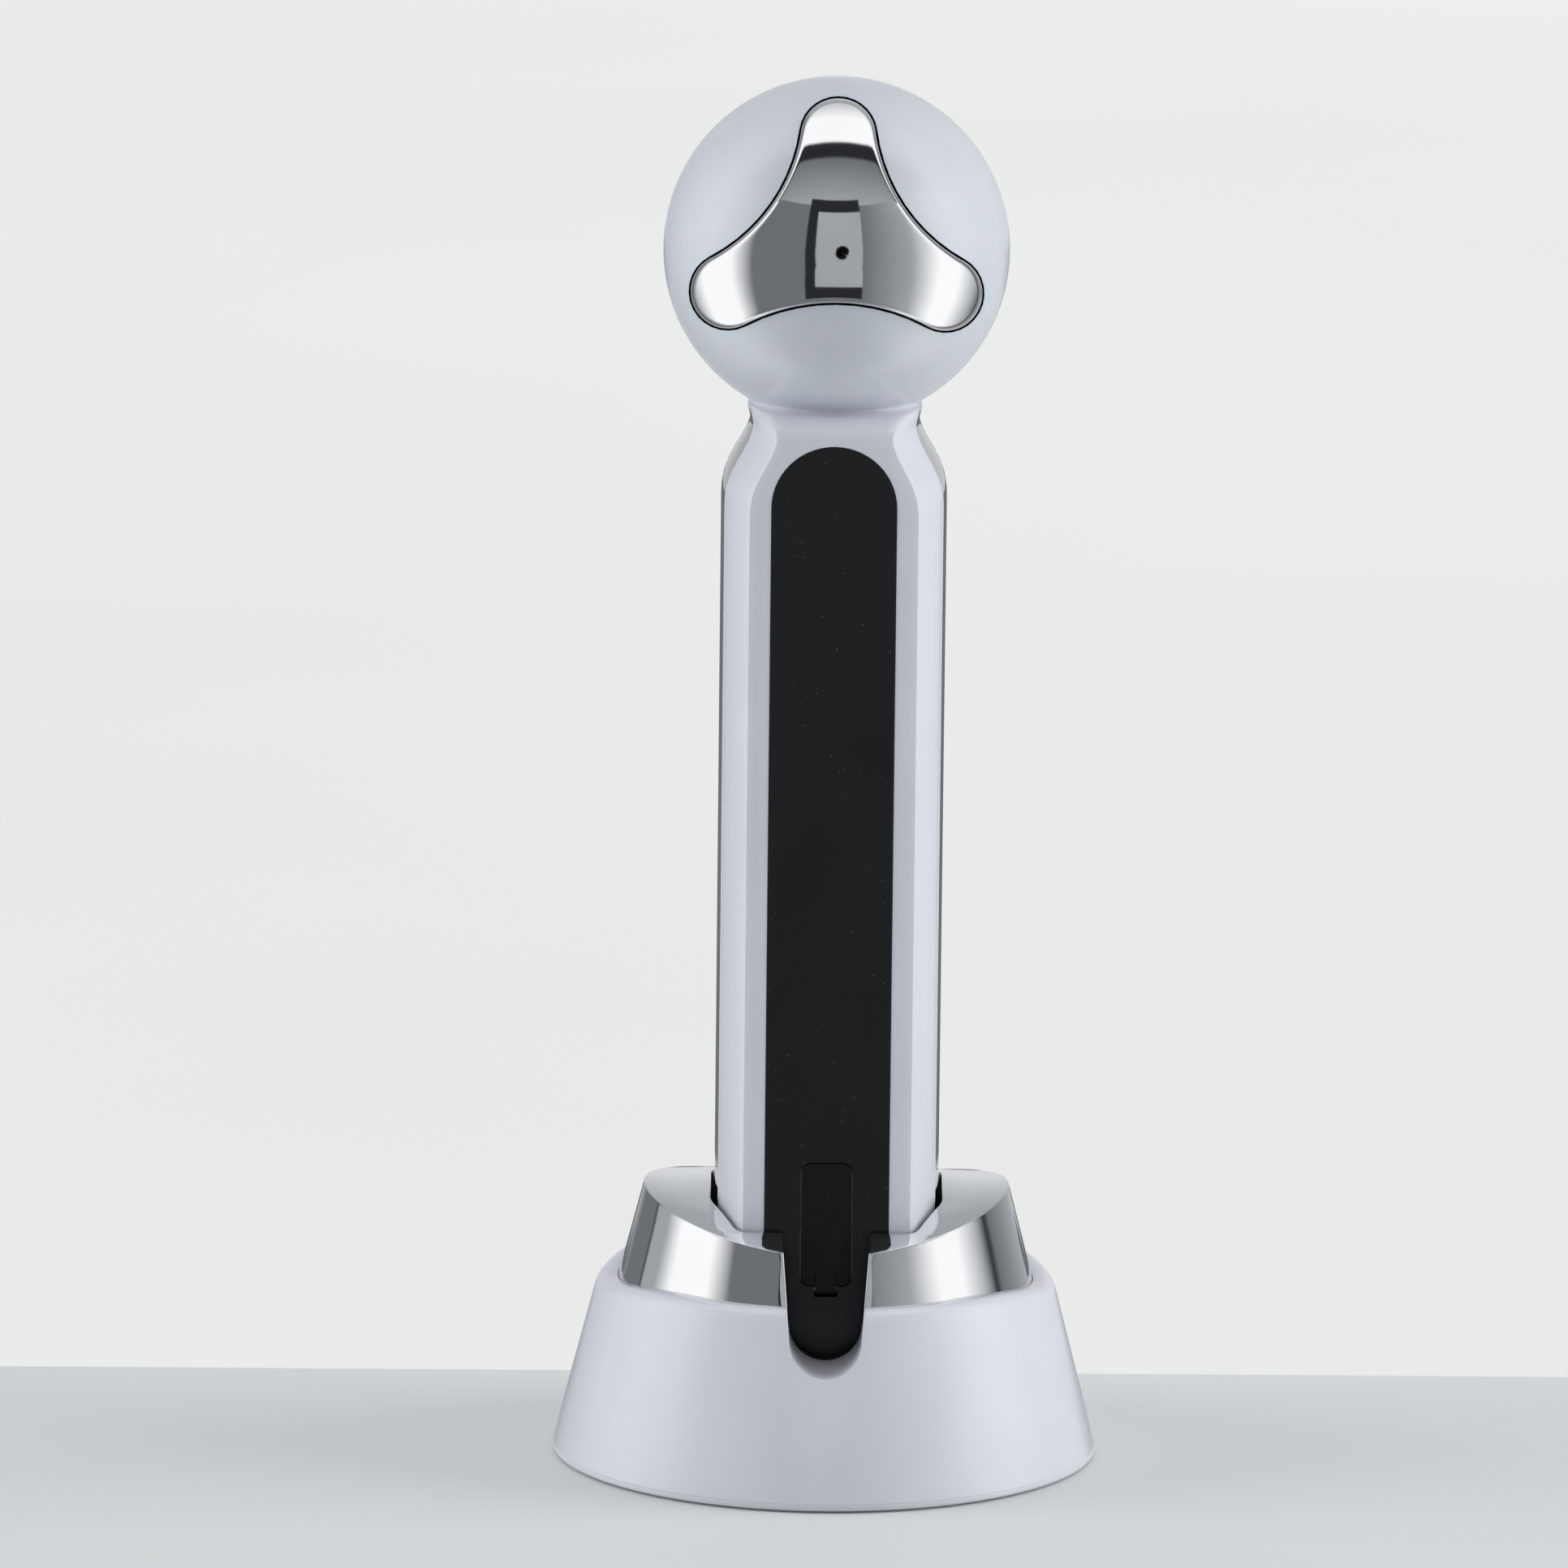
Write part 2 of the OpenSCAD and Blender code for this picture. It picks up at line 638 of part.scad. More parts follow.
module electrode_gasket() color([0.1, 0.1, 0.1]) {
    thick = 0.7;
    difference() {
        intersection() {
            electrode_bar(0.8);
            head_sphere(globe_r - globe_wall - 0.05);
        }
        head_sphere(globe_r - globe_wall - 0.05 - thick);
        translate([0, 0, globe_z]) bar_y(2.2, -far, 0);
    }
}

module contact_pin() color("goldenrod") {
    reach = globe_r - globe_wall;
    intersection() {
        translate([0, led_board_y, globe_z]) rotate([90, 0, 0]) rotate_extrude()
            polygon([[0, 0], [2.4, 0], [2.4, 1.2], [1.5, 1.8], [1.5, 12], [1, 12.5], [1, reach + 3], [0, reach + 3]]);
        head_sphere(globe_r - globe_wall);
    }
}

module led_board() color([0.93, 0.93, 0.9]) {
    difference() {
        translate([0, 0, globe_z]) bar_y(led_board_r, led_board_y, led_board_y + board_t);
        translate([0, 0, globe_z - led_board_r]) bar_y(2, 0, far);
    }
}

module head_leds() color([0.95, 0.9, 0.6]) {
    for (a = [22.5 : 45 : 360]) translate([10 * cos(a), led_board_y, globe_z + 10 * sin(a)]) rotate([90, 0, 0]) {
        translate([-1.75, -1.75, 0]) cube([3.5, 3.5, 0.9]);
        translate([0, 0, 0.9 - eps]) cylinder(r1 = 1.4, r2 = 0.9, h = 0.9);
    }
}

// ---------- electronics in the handle ----------

module control_board() color([0.05, 0.35, 0.2]) {
    difference() {
        block([-board_w / 2, board_y, board_z[0]], [board_w / 2, board_y + board_t, board_z[1]]);
        translate([0, 0, screw_zs[2]]) bar_y(boss_r + 0.3, 0, far);
    }
}

module board_components() color([0.12, 0.12, 0.12]) {
    y = board_y;
    block([-4, y - 1.1, 126], [4, y, 134]);
    block([-8, y - 4.5, 107], [-1, y, 115]);
    block([2, y - 2, 107], [8, y, 113]);
    for (x = [-8.5, -6, 6.5, 9]) block([x - 0.6, y - 0.8, 121], [x + 0.6, y, 123.5]);
}

module tact_switches() color("silver") {
    y = board_y + board_t;
    for (z = [power_z, mode_z]) translate([0, 0, z]) {
        block([-3, y, -3], [3, y + switch_body_t, 3]);
        bar_y(1.5, y + switch_body_t - eps, rear_inner - run_gap - flange_t - button_travel - 0.15);
    }
}

module indicator_lenses() color([0.85, 0.93, 0.98, 0.7]) {
    for (x = indicator_xs) translate([x, 0, indicator_z]) bar_y(indicator_r, board_y + board_t, rear_y);
}

module charge_board() color([0.05, 0.35, 0.2]) {
    block([-board_w / 2 + 1, charge_y, charge_z[0]], [board_w / 2 - 1, charge_y + board_t, charge_z[1]]);
}

module usb_socket() color("silver") {
    w = 3.2;
    h = 7.8;
    mid = plug_z + plug_h / 2;
    y0 = -(front_y - wall) + 0.3;
    difference() {
        translate([0, 0, mid - h / 2]) plate_y(y0, charge_y) rounded_rect(w, h, 1);
        translate([0, 0, mid - h / 2 + 0.35]) plate_y(y0 - 1, charge_y - 1) rounded_rect(w - 0.7, h - 0.7, 0.7);
    }
    block([-0.35, y0 + 1, mid - 2.6], [0.35, charge_y - 1 + eps, mid + 2.6]);
}

module battery_cell() color([0.25, 0.45, 0.7]) {
    translate([0, cell_y, cell_z[0]]) rotate_extrude()
        polygon([[0, 0], [cell_r - 0.6, 0], [cell_r, 0.6], [cell_r, cell_z[1] - cell_z[0] - 2],
                 [cell_r - 0.6, cell_z[1] - cell_z[0] - 1.4], [2.6, cell_z[1] - cell_z[0] - 1.4],
                 [2.6, cell_z[1] - cell_z[0]], [0, cell_z[1] - cell_z[0]]]);
}

module battery_cradle() color([0.3, 0.3, 0.32]) {
    t = 1.2;
    difference() {
        union() {
            block([-cell_r - t, cell_y, cell_z[0] - t], [cell_r + t, rear_inner, cell_z[1] + t]);
        }
        translate([0, cell_y, cell_z[0] - 0.1]) cylinder(r = cell_r + 0.1, h = cell_z[1] - cell_z[0] + 0.2);
    }
}

// ---------- moving parts ----------

module button_cap(r, z) {
    y0 = rear_inner - run_gap - flange_t;
    translate([0, y0, z]) rotate([-90, 0, 0]) rotate_extrude() polygon([[0, 0], [r + flange_extra, 0],
        [r + flange_extra, flange_t], [r, flange_t], [r, rear_y + button_proud - y0 - 0.4],
        [r - 0.4, rear_y + button_proud - y0], [r - 1.4, rear_y + button_proud - y0],
        [0, rear_y + button_proud - y0 - 0.25]]);
}

module power_button() color("silver") button_cap(power_r, power_z);
module mode_button() color("white") button_cap(mode_r, mode_z);

module port_cover() color([0.11, 0.11, 0.12]) {
    y0 = -(front_y + strip_proud + 0.1);
    y1 = y0 + cover_t;
    plate_y(y0, y1) translate([0, cover_z]) rounded_rect(cover_w, cover_h, cover_corner_r);
    plate_y(y1 - eps, y1 + plug_in) port_outline();
    translate([-strap_w / 2, hinge_y, hinge_z]) rotate([0, 90, 0]) cylinder(r = knuckle_r, h = strap_w);
    block([-strap_w / 2, y0, hinge_z], [strap_w / 2, y1, cover_z + 1]);
    block([-strap_w / 2, y0 - strap_proud, cover_z - 0.4], [strap_w / 2, y1, cover_z + strap_root]);
}

stand_shell();
chrome_collar();
socket_cup();
base_plate();
ballast_weight();
rubber_feet();
stand_screws();
front_housing();
rear_housing();
left_grip_electrode();
right_grip_electrode();
front_strip();
front_globe_shell();
rear_globe_shell();
face_electrode();
electrode_gasket();
contact_pin();
led_board();
head_leds();
control_board();
board_components();
tact_switches();
indicator_lenses();
charge_board();
usb_socket();
battery_cell();
battery_cradle();
housing_screws();
power_button();
mode_button();
port_cover();
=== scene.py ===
# %% [markdown]
# # A facial toning device in its stand
# The measured parts come in as fixed objects. This lesson dresses them: it adds the
# softly rounded pieces that catch the light, the materials, the lamps and the camera.
# The scene is in metres, front is -Y and up is +Z. Outlines are worked out in millimetres.

# %% Load the parts
from math import atan2, cos, pi, radians, sin, sqrt
import bpy
from mathutils import Matrix, Vector


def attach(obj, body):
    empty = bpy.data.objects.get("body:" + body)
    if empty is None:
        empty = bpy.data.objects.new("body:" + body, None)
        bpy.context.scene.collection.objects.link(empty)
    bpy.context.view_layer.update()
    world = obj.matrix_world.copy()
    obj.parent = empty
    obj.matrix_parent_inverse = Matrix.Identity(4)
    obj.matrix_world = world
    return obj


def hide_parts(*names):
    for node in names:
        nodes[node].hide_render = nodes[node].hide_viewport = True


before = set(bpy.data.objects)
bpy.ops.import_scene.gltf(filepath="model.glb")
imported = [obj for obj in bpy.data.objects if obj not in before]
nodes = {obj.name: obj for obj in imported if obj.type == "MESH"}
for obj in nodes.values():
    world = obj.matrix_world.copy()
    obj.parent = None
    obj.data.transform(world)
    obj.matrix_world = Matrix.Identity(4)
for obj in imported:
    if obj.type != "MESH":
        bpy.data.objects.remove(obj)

MM = 0.001
scene = bpy.context.scene
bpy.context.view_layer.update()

# %% [markdown]
# ## Small tools for materials
# Colours are easiest to pick as web colours, but shaders count light linearly, so one
# function turns a hex value into linear numbers. The others add a shader node with its
# settings and links, so that each material below reads like a short recipe.

# %% Colour and node helpers
def colour(hex_value):
    parts = [int(hex_value[i:i + 2], 16) / 255 for i in (1, 3, 5)]
    return tuple(c / 12.92 if c <= 0.04045 else ((c + 0.055) / 1.055) ** 2.4 for c in parts) + (1.0,)


def add_node(tree, kind, settings=None, links=None):
    made = tree.nodes.new(kind)
    for key, value in (settings or {}).items():
        if isinstance(key, int) or key in made.inputs:
            made.inputs[key].default_value = value
        else:
            setattr(made, key, value)
    for key, (source, output) in (links or {}).items():
        tree.links.new(source.outputs[output], made.inputs[key])
    return made


def set_ramp(node, stops):
    """Give a colour ramp its stops, a list of (position, hex colour)."""
    ramp = node.color_ramp
    while len(ramp.elements) < len(stops):
        ramp.elements.new(0.5)
    for element, (position, value) in zip(ramp.elements, stops):
        element.position, element.color = position, colour(value)


def feed(tree, made, key, value):
    """Fill an input with a number, a hex colour, a node or a pair of node and output."""
    if isinstance(value, str):
        made.inputs[key].default_value = colour(value)
    elif isinstance(value, (int, float)):
        made.inputs[key].default_value = value
    else:
        source, output = value if isinstance(value, tuple) else (value, 0)
        tree.links.new(source.outputs[output], made.inputs[key])


def maths(tree, operation, *values):
    """A math node on numbers or nodes."""
    made = add_node(tree, "ShaderNodeMath", {"operation": operation})
    for k, value in enumerate(values):
        feed(tree, made, k, value)
    return made


def mix(tree, amount, first, second):
    """Second colour where amount is 1, first where it is 0."""
    made = add_node(tree, "ShaderNodeMixRGB")
    for key, value in (("Fac", amount), ("Color1", first), ("Color2", second)):
        feed(tree, made, key, value)
    return made


def new_material(name):
    material = bpy.data.materials.new(name)
    material.use_nodes = True
    material.node_tree.nodes.clear()
    return material, material.node_tree


print("white is", [round(c, 3) for c in colour("#FFFFFF")])

# %% [markdown]
# ## Moulded and plated finishes
# Most of the device is injection-moulded plastic: glossy white ABS, a milky diffusing
# head and dark parts with a fine spark-eroded grain. What gives a moulding away is that
# its gloss is never perfectly even, so a slow noise moves the roughness a little, and a
# fine noise lifts the surface by a few microns.

# %% Recipe for a moulded or plated surface
def finish(name, base, other=None, grain_mm=0.4, grain_depth_mm=0.004, patch_mm=18.0,
           rough=(0.25, 0.32), edge_mm=None, dust=None, shader=None):
    """A base colour that drifts towards other in patches, with an uneven gloss and a fine grain.
    Where edge_mm is given, sharp edges shade as if rounded by that much. dust is (colour,
    spacing in mm, size in mm) of the specks that settle on it."""
    material, tree = new_material(name)
    place = add_node(tree, "ShaderNodeTexCoord")
    patches = add_node(tree, "ShaderNodeTexNoise", {"Scale": 1 / (patch_mm * MM), "Detail": 3.0},
                       {"Vector": (place, "Object")})
    grain = add_node(tree, "ShaderNodeTexNoise", {"Scale": 1 / (grain_mm * MM), "Detail": 2.0},
                     {"Vector": (place, "Object")})
    tint = add_node(tree, "ShaderNodeValToRGB", None, {"Fac": (patches, "Fac")})
    set_ramp(tint, [(0.35, base), (0.65, other or base)])
    gloss = add_node(tree, "ShaderNodeMapRange", {"From Min": 0.3, "From Max": 0.7,
                     "To Min": rough[0], "To Max": rough[1]}, {"Value": (patches, "Fac")})
    bump = add_node(tree, "ShaderNodeBump", {"Strength": 0.5, "Distance": grain_depth_mm * MM},
                    {"Height": (grain, "Fac")})
    skin = tint
    if dust:
        dust_colour, spacing_mm, speck_mm = dust
        specks = add_node(tree, "ShaderNodeTexVoronoi", {"Scale": 1 / (spacing_mm * MM)},
                          {"Vector": (place, "Object")})
        is_speck = add_node(tree, "ShaderNodeMath", {"operation": "LESS_THAN", 1: speck_mm / spacing_mm},
                            {0: (specks, "Distance")})
        skin = add_node(tree, "ShaderNodeMixRGB", {"Color2": colour(dust_colour)},
                        {"Fac": (is_speck, 0), "Color1": (tint, "Color")})
    if edge_mm:
        soft_edge = add_node(tree, "ShaderNodeBevel", {"Radius": edge_mm * MM, "samples": 8})
        tree.links.new(soft_edge.outputs["Normal"], bump.inputs["Normal"])
    surface = add_node(tree, "ShaderNodeBsdfPrincipled", shader,
                       {"Base Color": (skin, "Color"), "Roughness": (gloss, "Result"),
                        "Normal": (bump, "Normal")})
    add_node(tree, "ShaderNodeOutputMaterial", None, {"Surface": (surface, "BSDF")})
    return material


# Glossy white ABS, polished mould: a clear highlight over a faintly lavender white
abs_white = finish("abs_white_gloss", "#E2E4EB", "#DFE1E9", rough=(0.16, 0.22),
                   grain_depth_mm=0.001, shader={"IOR": 1.53, "Coat Weight": 0.25, "Coat Roughness": 0.08})
# Milky polycarbonate diffuser: light sinks in a little, so shading is soft
globe_milky = finish("polycarbonate_milky", "#DBDEE5", "#D7DBE2", rough=(0.3, 0.36), grain_depth_mm=0.001,
                     shader={"IOR": 1.58, "Coat Weight": 0.6, "Coat Roughness": 0.03, "Coat IOR": 1.5,
                             "Subsurface Weight": 0.25, "Subsurface Scale": 0.003})
# Chrome plating on ABS: a mirror with the faint haze that wiping leaves
chrome = finish("chrome_plated_abs", "#FBFCFD", "#F6F8F9", rough=(0.03, 0.06), grain_depth_mm=0.0003,
                patch_mm=9.0, edge_mm=0.4, dust=("#B9B4AC", 3.0, 0.05), shader={"Metallic": 1.0})
# Black acrylic-faced strip: satin, with a slow drift in its gloss and a little dust
strip_black = finish("acrylic_black_satin", "#131517", "#181A1C", rough=(0.3, 0.36), grain_depth_mm=0.001,
                     edge_mm=0.12, dust=("#9A9C9E", 1.6, 0.055), shader={"IOR": 1.49})
# Black matte ABS of the socket's lining and the cradles
abs_black = finish("abs_black_matte", "#121314", "#17181A", rough=(0.55, 0.65), grain_mm=0.25,
                   grain_depth_mm=0.02, shader={"IOR": 1.53})
# Grey-white satin ABS of the base plate
abs_grey = finish("abs_pale_satin", "#DADCE2", "#D5D8DE", rough=(0.35, 0.45), grain_mm=0.3,
                  grain_depth_mm=0.01, shader={"IOR": 1.53})
# Silicone rubber of the port cover: soft, dull, a little dusty
cover_rubber = finish("silicone_black", "#0C0D0E", "#101112", rough=(0.5, 0.62), grain_mm=0.2,
                      grain_depth_mm=0.015, edge_mm=0.2, dust=("#8C8E90", 1.3, 0.05), shader={"IOR": 1.43})
foot_rubber = finish("rubber_foot", "#202020", "#2A2A2A", rough=(0.7, 0.85), grain_mm=0.3,
                     grain_depth_mm=0.02, shader={"IOR": 1.52})
# Zinc-plated steel of screws and sockets
steel = finish("steel_zinc_plated", "#B9BABC", "#A9ABAE", rough=(0.25, 0.38), grain_mm=0.15,
               grain_depth_mm=0.004, patch_mm=3.0, shader={"Metallic": 1.0})
cast_iron = finish("cast_iron_painted", "#3A3B3D", "#46474A", rough=(0.6, 0.75), grain_mm=0.6,
                   grain_depth_mm=0.05, shader={"IOR": 1.5})
brass = finish("brass_contact", "#C9A55A", "#BE9A50", rough=(0.2, 0.32), patch_mm=3.0,
               shader={"Metallic": 1.0})
board_green = finish("board_solder_mask", "#0F5A33", "#0C4F2C", rough=(0.3, 0.4), patch_mm=5.0,
                     shader={"IOR": 1.5})
led_lens = finish("led_yellow_phosphor", "#E8D98C", "#E3D27C", rough=(0.2, 0.3), patch_mm=1.0,
                  shader={"IOR": 1.5})
clear_lens = finish("acrylic_clear", "#D9E3E8", "#D5E0E6", rough=(0.08, 0.12), patch_mm=1.0,
                    shader={"IOR": 1.49, "Transmission Weight": 0.4})
cell_sleeve = finish("cell_shrink_sleeve", "#2F5687", "#2A4E7C", rough=(0.25, 0.35), patch_mm=6.0,
                     shader={"IOR": 1.5})
print("materials:", [m.name for m in bpy.data.materials])

# %% Give every part its finish
finishes = {
    abs_white: ["stand_shell", "front_housing", "rear_housing", "mode_button"],
    globe_milky: ["front_globe_shell", "rear_globe_shell"],
    chrome: ["chrome_collar", "left_grip_electrode", "right_grip_electrode", "face_electrode",
             "power_button"],
    strip_black: ["front_strip"],
    abs_black: ["socket_cup", "battery_cradle", "board_components"],
    abs_grey: ["base_plate"],
    cover_rubber: ["port_cover", "electrode_gasket"],
    foot_rubber: ["rubber_feet"],
    steel: ["stand_screws", "housing_screws", "usb_socket", "tact_switches"],
    cast_iron: ["ballast_weight"],
    brass: ["contact_pin"],
    board_green: ["led_board", "control_board", "charge_board"],
    led_lens: ["head_leds"],
    clear_lens: ["indicator_lenses"],
    cell_sleeve: ["battery_cell"],
}
for material, names in finishes.items():
    for name in names:
        nodes[name].data.materials.clear()
        nodes[name].data.materials.append(material)
print("dressed:", sum(len(names) for names in finishes.values()), "of", len(nodes))

# %% [markdown]
# ## Smooth curves on the measured parts
# The parts arrive as loose triangles. Welding their corners and splitting only the sharp
# edges again lets a curved wall shade as one smooth surface, with its crisp edges kept.

# %% Weld, round and shade the measured parts
edge_mm = {"chrome_collar": 0.45, "stand_shell": 0.5, "port_cover": 0.2,
           "power_button": 0.4, "mode_button": 0.4, "base_plate": 0.3, "socket_cup": 0.25}


def shade_part(name, split_angle=32):
    """Join the triangles, round the edges that have a size in edge_mm and keep the rest crisp."""
    part = nodes[name]
    part.data.polygons.foreach_set("use_smooth", [True] * len(part.data.polygons))
    weld = part.modifiers.new("weld", "WELD")
    weld.merge_threshold = 0.002 * MM
    if name in edge_mm:
        plain = part.modifiers.new("flat_faces", "DECIMATE")
        plain.decimate_type = "DISSOLVE"
        plain.angle_limit = radians(0.5)
        rounded = part.modifiers.new("rounded_edges", "BEVEL")
        rounded.width, rounded.segments = edge_mm[name] * MM, 3
        rounded.limit_method, rounded.angle_limit = "ANGLE", radians(35)
        rounded.miter_outer = "MITER_ARC"
    split = part.modifiers.new("sharp_edges", "EDGE_SPLIT")
    split.split_angle = radians(split_angle)


for name in nodes:
    shade_part(name)
print("shaded", len(nodes), "rounded", len(edge_mm))

# %% [markdown]
# ## The face electrode
# The chromed plate has three lobes joined by hollow flanks and follows the ball. A flat
# plate of that outline, ring inside ring, is laid on the ball, and its outer rings step
# down over the edge, so that a narrow rounded rim catches the light all the way round.

# %% Outline of the electrode
GLOBE_Z, GLOBE_R, TILT = 178.0, 25.0, radians(9.5)
PLATE_R = 25.8
LOBE_R = 5.35
lobes = [Vector((0, 16.3)), Vector((-15.6, -6.2)), Vector((15.6, -6.2))]
hollow_rs = [24.5, 28.0, 24.5]


def hollow_centre(i):
    """Centre of the hollow flank between the lobes i and i + 1."""
    p, q = lobes[i], lobes[(i + 1) % 3]
    out = Vector((q.y - p.y, p.x - q.x)).normalized()
    return (p + q) / 2 + out * sqrt((hollow_rs[i] + LOBE_R) ** 2 - ((q - p).length / 2) ** 2)


hollows = [hollow_centre(i) for i in range(3)]


def heading(v):
    return atan2(v.y, v.x)


def outline(grow, lobe_steps=40, flank_steps=32):
    """Points round the plate in mm, with the whole outline moved outwards by grow."""
    points = []
    for i in range(3):
        first = heading(hollows[i - 1] - lobes[i])
        sweep = (heading(hollows[i] - lobes[i]) - first) % (2 * pi)
        for k in range(lobe_steps):
            a = first + sweep * k / lobe_steps
            points.append(lobes[i] + (LOBE_R + grow) * Vector((cos(a), sin(a))))
        first = heading(lobes[i] - hollows[i])
        sweep = (heading(lobes[(i + 1) % 3] - hollows[i]) - first) % (2 * pi) - 2 * pi
        for k in range(flank_steps):
            a = first + sweep * k / flank_steps
            points.append(hollows[i] + (hollow_rs[i] - grow) * Vector((cos(a), sin(a))))
    return points


print("outline points:", len(outline(0)))

# %% Lay the electrode on the ball
def start_clean():
    if bpy.context.object and bpy.context.object.mode == "EDIT":
        bpy.ops.object.mode_set(mode="OBJECT")
    bpy.ops.object.select_all(action="DESELECT")


def on_ball(p, r):
    """Place, in metres, of the flat point p on a ball of the radius r round the globe's centre."""
    up, axis = Vector((0, sin(TILT), cos(TILT))), Vector((0, -cos(TILT), sin(TILT)))
    depth = sqrt(r * r - p.x * p.x - p.y * p.y)
    return (Vector((0, 0, GLOBE_Z)) + Vector((1, 0, 0)) * p.x + up * p.y + axis * depth) * MM


# the rim in mm: how far each ring stands outside the outline, below 0 inside, and its radius
rim = [(-0.75, PLATE_R), (-0.6, 25.79), (-0.45, 25.75), (-0.3, 25.67), (-0.16, 25.53), (-0.06, 25.36),
       (0.0, 25.15), (0.0, 24.4), (0.0, 23.4)]
inner_steps = 16
ring_step, ring_r = 0.0001, 0.001
rings = [([p * k / inner_steps for p in outline(rim[0][0])], PLATE_R) for k in range(1, inner_steps)]
rings += [(outline(grow), r) for grow, r in rim]
start_clean()
bpy.ops.mesh.primitive_circle_add(vertices=len(outline(0)), radius=ring_r, fill_type="TRIFAN")
plate = bpy.context.object
plate.name = "electrode_plate"
bpy.ops.object.mode_set(mode="EDIT")
bpy.ops.mesh.select_all(action="SELECT")
bpy.ops.mesh.region_to_loop()
for k in range(len(rings) - 1):
    bpy.ops.mesh.extrude_edges_move(TRANSFORM_OT_translate={"value": (0, 0, -ring_step)})
bpy.ops.object.mode_set(mode="OBJECT")
levels = {}
for v in plate.data.vertices:
    levels.setdefault(round(v.co.z / ring_step), []).append(v)
for depth, group in levels.items():
    ring = [v for v in group if v.co.xy.length > ring_r / 2]
    points, r = rings[-depth]
    ring.sort(key=lambda v: atan2(v.co.y, v.co.x) % (2 * pi))
    for v, p in zip(ring, points):
        v.co = on_ball(p, r)
    for v in group:
        if v not in ring:
            v.co = on_ball(Vector((0, 0)), PLATE_R)
start_clean()
plate.select_set(True)
bpy.context.view_layer.objects.active = plate
bpy.ops.object.mode_set(mode="EDIT")
bpy.ops.mesh.select_all(action="SELECT")
bpy.ops.mesh.normals_make_consistent(inside=False)
bpy.ops.object.mode_set(mode="OBJECT")
bpy.ops.object.shade_smooth()
plate.data.materials.append(chrome)
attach(plate, "device")
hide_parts("face_electrode")
print("electrode plate:", len(plate.data.polygons), "faces")

# %% [markdown]
# ## The root of the ball
# Ball and neck meet in a small hollow fillet. Rays towards the axis measure the neck all
# round, and a ring of that shape, thinner than a match, fills the corner below the ball.

# %% Fillet between neck and ball
def neck_radius(a, z):
    """Radius of the neck in mm in the direction a, at the height z in mm."""
    away = Vector((cos(a), sin(a), 0))
    graph = bpy.context.evaluated_depsgraph_get()
    hit, place, *rest = scene.ray_cast(graph, (away * 60 + Vector((0, 0, z))) * MM, -away)
    return place.xy.length / MM


def ball_height(r):
    """Height in mm of the ball's underside at the radius r."""
    return GLOBE_Z - sqrt(GLOBE_R ** 2 - r * r)


def seam_height(a):
    """Lowest height, in mm, where the ball stands out of the neck in the direction a."""
    z = 154.0
    while neck_radius(a, z) - sqrt(max(GLOBE_R ** 2 - (GLOBE_Z - z) ** 2, 0)) > 0.03:
        z += 0.05
    return z


def fillet_profile(a, up=1.1, down=0.16, steps=8):
    """Points (radius, height): along the hollow from the ball to the neck, then back inside."""
    seam = seam_height(a)
    corner = sqrt(GLOBE_R ** 2 - (GLOBE_Z - seam) ** 2)
    start = Vector((corner + up, ball_height(corner + up)))
    middle = Vector((corner, seam))
    end = Vector((neck_radius(a, seam - down), seam - down))
    curve = []
    for k in range(steps + 1):
        t = k / steps
        curve.append(start * (1 - t) ** 2 + middle * 2 * t * (1 - t) + end * t * t)
    buried = [end + Vector((-0.3, -0.1)), middle + Vector((-0.8, 0.2))]
    return [start + Vector((-0.1, 0.2))] + curve + buried


around, across = 96, len(fillet_profile(0))
profiles = [fillet_profile(2 * pi * i / around) for i in range(around)]
start_clean()
bpy.ops.mesh.primitive_torus_add(major_segments=around, minor_segments=across,
                                 major_radius=0.012, minor_radius=0.001)
fillet = bpy.context.object
fillet.name = "neck_fillet"
for i, v in enumerate(fillet.data.vertices):
    a = 2 * pi * (i // across) / around
    r, z = profiles[i // across][i % across]
    v.co = Vector((r * cos(a), r * sin(a), z)) * MM
bpy.ops.object.mode_set(mode="EDIT")
bpy.ops.mesh.select_all(action="SELECT")
bpy.ops.mesh.normals_make_consistent(inside=False)
bpy.ops.object.mode_set(mode="OBJECT")
bpy.ops.object.shade_smooth()
fillet.data.materials.append(abs_white)
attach(fillet, "device")
print("fillet:", len(fillet.data.polygons), "faces")

# %% [markdown]
# ## Floor and backdrop
# The device stands on a plain pale floor in front of a bright wall. One large plane is
# enough: the part that the device stands on is a little greyer, and takes its shadow.

# %% Floor
start_clean()
bpy.ops.mesh.primitive_plane_add(size=12)
floor = bpy.context.object
floor.name = "floor"
floor.visible_glossy = False
material, tree = new_material("pale_floor")
place = add_node(tree, "ShaderNodeNewGeometry")
at = add_node(tree, "ShaderNodeSeparateXYZ", None, {"Vector": (place, "Position")})
# the floor meets the wall along a line that is turned a little against the X axis
rear_edge, rear_turn = 0.0473, 0.015
near_end, half_width = -0.4, 0.6
along_rear = maths(tree, "SUBTRACT", (at, "Y"), maths(tree, "MULTIPLY", (at, "X"), rear_turn))
past_ends = maths(tree, "MAXIMUM", maths(tree, "GREATER_THAN", along_rear, rear_edge),
                  maths(tree, "LESS_THAN", along_rear, near_end))
past_sides = maths(tree, "GREATER_THAN", maths(tree, "ABSOLUTE", (at, "X")), half_width)
behind = maths(tree, "MAXIMUM", past_ends, past_sides)
floor_paint = add_node(tree, "ShaderNodeBsdfPrincipled", {"Base Color": colour("#E1E5E4"), "Roughness": 0.6})
mottle = add_node(tree, "ShaderNodeTexNoise", {"Scale": 0.9, "Detail": 5.0},
                  {"Vector": (place, "Position")})
plaster = add_node(tree, "ShaderNodeValToRGB", None, {"Fac": (mottle, "Fac")})
set_ramp(plaster, [(0.35, "#E6E9E8"), (0.65, "#EDF0EF")])
